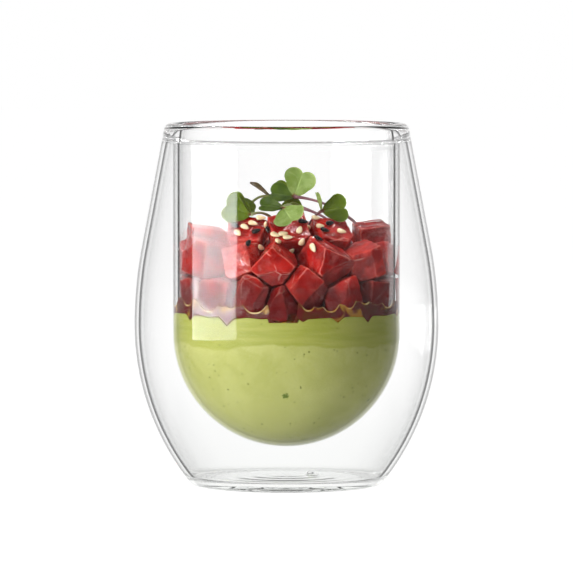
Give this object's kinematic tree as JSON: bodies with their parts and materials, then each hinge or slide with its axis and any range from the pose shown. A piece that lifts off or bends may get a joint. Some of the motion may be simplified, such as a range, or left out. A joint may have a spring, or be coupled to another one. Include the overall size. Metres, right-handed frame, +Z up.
{
  "type": "double-wall appetizer glass with a tuna and avocado starter",
  "caption": "Egg-shaped double-wall glass tumbler filled with avocado mousse, dressing and diced raw tuna, topped with sesame seeds and sprouts.",
  "frame": {"origin": "centre of the base's standing ring, on the table", "axes": "+Z up along the tumbler's centre line, the greens lean to the front, -Y"},
  "size_m": [0.0882, 0.0882, 0.105],
  "materials": {
    "clear_glass": "clear fire-polished borosilicate glass",
    "avocado_mousse": "smooth moist green mousse with fine dark specks",
    "soy_dressing": "clear amber and brown dressing, wet",
    "raw_tuna": "wet red flesh with fine pale sinew lines",
    "white_sesame": "toasted cream seed coat",
    "black_sesame": "dry black seed coat",
    "sprout_green": "soft green seed leaves on pale green and purple stems"
  },
  "bodies": {
    "root": {"glass": "clear_glass", "mousse": "avocado_mousse", "dressing": "soy_dressing", "tuna_die_01": "raw_tuna", "tuna_die_02": "raw_tuna", "tuna_die_03": "raw_tuna", "tuna_die_04": "raw_tuna", "tuna_die_05": "raw_tuna", "tuna_die_06": "raw_tuna", "tuna_die_07": "raw_tuna", "tuna_die_08": "raw_tuna", "tuna_die_09": "raw_tuna", "tuna_die_10": "raw_tuna", "tuna_die_11": "raw_tuna", "tuna_die_12": "raw_tuna", "tuna_die_13": "raw_tuna", "tuna_die_14": "raw_tuna", "tuna_die_15": "raw_tuna", "tuna_die_16": "raw_tuna", "tuna_die_17": "raw_tuna", "tuna_die_18": "raw_tuna", "tuna_die_19": "raw_tuna", "tuna_die_20": "raw_tuna", "tuna_die_21": "raw_tuna", "tuna_die_22": "raw_tuna", "tuna_die_23": "raw_tuna", "tuna_die_24": "raw_tuna", "tuna_die_25": "raw_tuna", "tuna_die_26": "raw_tuna", "tuna_die_27": "raw_tuna", "tuna_die_28": "raw_tuna", "tuna_die_29": "raw_tuna", "tuna_die_30": "raw_tuna", "tuna_die_31": "raw_tuna", "tuna_die_32": "raw_tuna", "tuna_die_33": "raw_tuna", "tuna_die_34": "raw_tuna", "tuna_die_35": "raw_tuna", "tuna_die_36": "raw_tuna", "tuna_die_37": "raw_tuna", "tuna_die_38": "raw_tuna", "tuna_die_39": "raw_tuna", "tuna_die_40": "raw_tuna", "tuna_die_41": "raw_tuna", "tuna_die_42": "raw_tuna", "tuna_die_43": "raw_tuna", "tuna_die_44": "raw_tuna", "tuna_die_45": "raw_tuna", "tuna_die_46": "raw_tuna", "tuna_die_47": "raw_tuna", "tuna_die_48": "raw_tuna", "tuna_die_49": "raw_tuna", "white_sesame_seeds": "white_sesame", "black_sesame_seeds": "black_sesame", "sprout_top": "sprout_green", "sprout_front": "sprout_green", "sprout_left": "sprout_green", "sprout_right": "sprout_green", "sprout_back": "sprout_green", "sprout_small": "sprout_green"}
  },
  "joints": []
}
